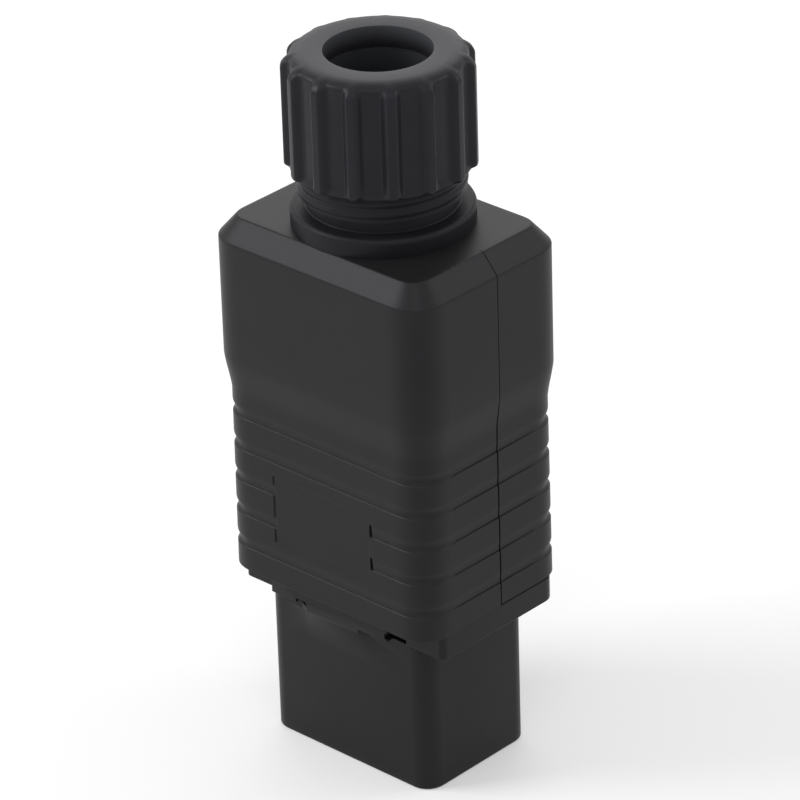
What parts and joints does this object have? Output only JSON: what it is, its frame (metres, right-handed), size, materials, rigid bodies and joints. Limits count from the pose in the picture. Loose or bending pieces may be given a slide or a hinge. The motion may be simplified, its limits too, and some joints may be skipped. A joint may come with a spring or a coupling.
{
  "type": "c19 power connector",
  "caption": "Rewireable straight power connector with a rectangular nose, ribbed two-part housing and a threaded cable gland with a ribbed nut.",
  "frame": {"origin": "centre of the nose's flat mating face, which the connector stands on", "axes": "+Z from the mating face to the cable gland, X along the wide side, Y along the depth; the front shell with the label panel faces -Y"},
  "size_m": [0.0376, 0.0284, 0.101],
  "materials": {
    "housing_plastic": "black moulded nylon, finely textured, satin",
    "carrier_plastic": "black moulded insulating plastic, smooth satin",
    "gland_plastic": "black nylon, satin",
    "nut_plastic": "black nylon, satin, slightly cool",
    "seal_rubber": "matt black rubber",
    "ring_plastic": "smooth black acetal",
    "contact_metal": "nickel-plated brass strip",
    "terminal_brass": "machined brass",
    "screw_steel": "zinc-plated steel"
  },
  "bodies": {
    "housing": {"front_shell": "housing_plastic", "rear_shell": "housing_plastic", "shell_screws": "screw_steel", "contact_carrier": "carrier_plastic", "terminal_guard": "carrier_plastic", "guard_screws": "screw_steel", "gland_body": "gland_plastic", "cable_seal": "seal_rubber", "line_contact": "contact_metal", "neutral_contact": "contact_metal", "earth_contact": "contact_metal", "line_terminal": "terminal_brass", "neutral_terminal": "terminal_brass", "earth_terminal": "terminal_brass", "line_wire_screw": "screw_steel", "neutral_wire_screw": "screw_steel", "earth_wire_screw": "screw_steel"},
    "ring": {"slip_ring": "ring_plastic"},
    "nut": {"gland_nut": "nut_plastic"}
  },
  "joints": [
    {"name": "ring_rise", "type": "slide", "parent": "housing", "child": "ring", "axis": [0, 0, 1], "range_m": [-0.00351, 0.00451]},
    {"name": "nut_turn", "type": "hinge", "parent": "ring", "child": "nut", "pos_m": [0, 0, 0.093], "axis": [0, 0, 1], "range_deg": [-840, 1080]}
  ],
  "couplings": [
    {"joint": "ring_rise", "follows": "nut_turn", "m_per_rad": 0.00023873}
  ]
}
